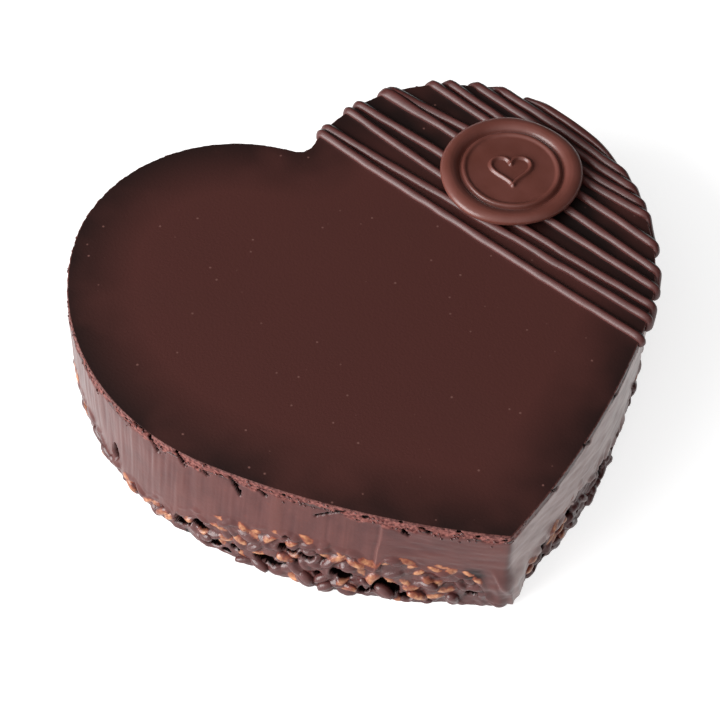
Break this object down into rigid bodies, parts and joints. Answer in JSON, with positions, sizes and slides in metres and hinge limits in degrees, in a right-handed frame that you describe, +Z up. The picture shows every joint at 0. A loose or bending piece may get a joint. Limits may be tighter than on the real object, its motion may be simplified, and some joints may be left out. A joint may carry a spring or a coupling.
{
  "type": "heart-shaped chocolate cake",
  "caption": "Low heart-shaped chocolate cake on a crisped rice base, with a smooth glaze, piped chocolate strokes over one lobe and a round chocolate seal.",
  "frame": {"origin": "on the surface that the cake stands on, under the middle of its bounding box", "axes": "+Z up, +Y from the heart's tip to its notch, +X towards the lobe with the piped strokes and the seal"},
  "size_m": [0.1631, 0.1519, 0.0371],
  "materials": {
    "chocolate_crisped_rice": "rough, grainy, partly glossy chocolate over toasted grains",
    "ganache": "satin, smeared by a palette knife",
    "dark_glaze": "smooth satin",
    "milk_chocolate": "moulded, soft gloss"
  },
  "bodies": {
    "root": {"crunch_base": "chocolate_crisped_rice", "ganache_layer": "ganache", "top_glaze": "dark_glaze", "chocolate_seal": "milk_chocolate"}
  },
  "joints": []
}
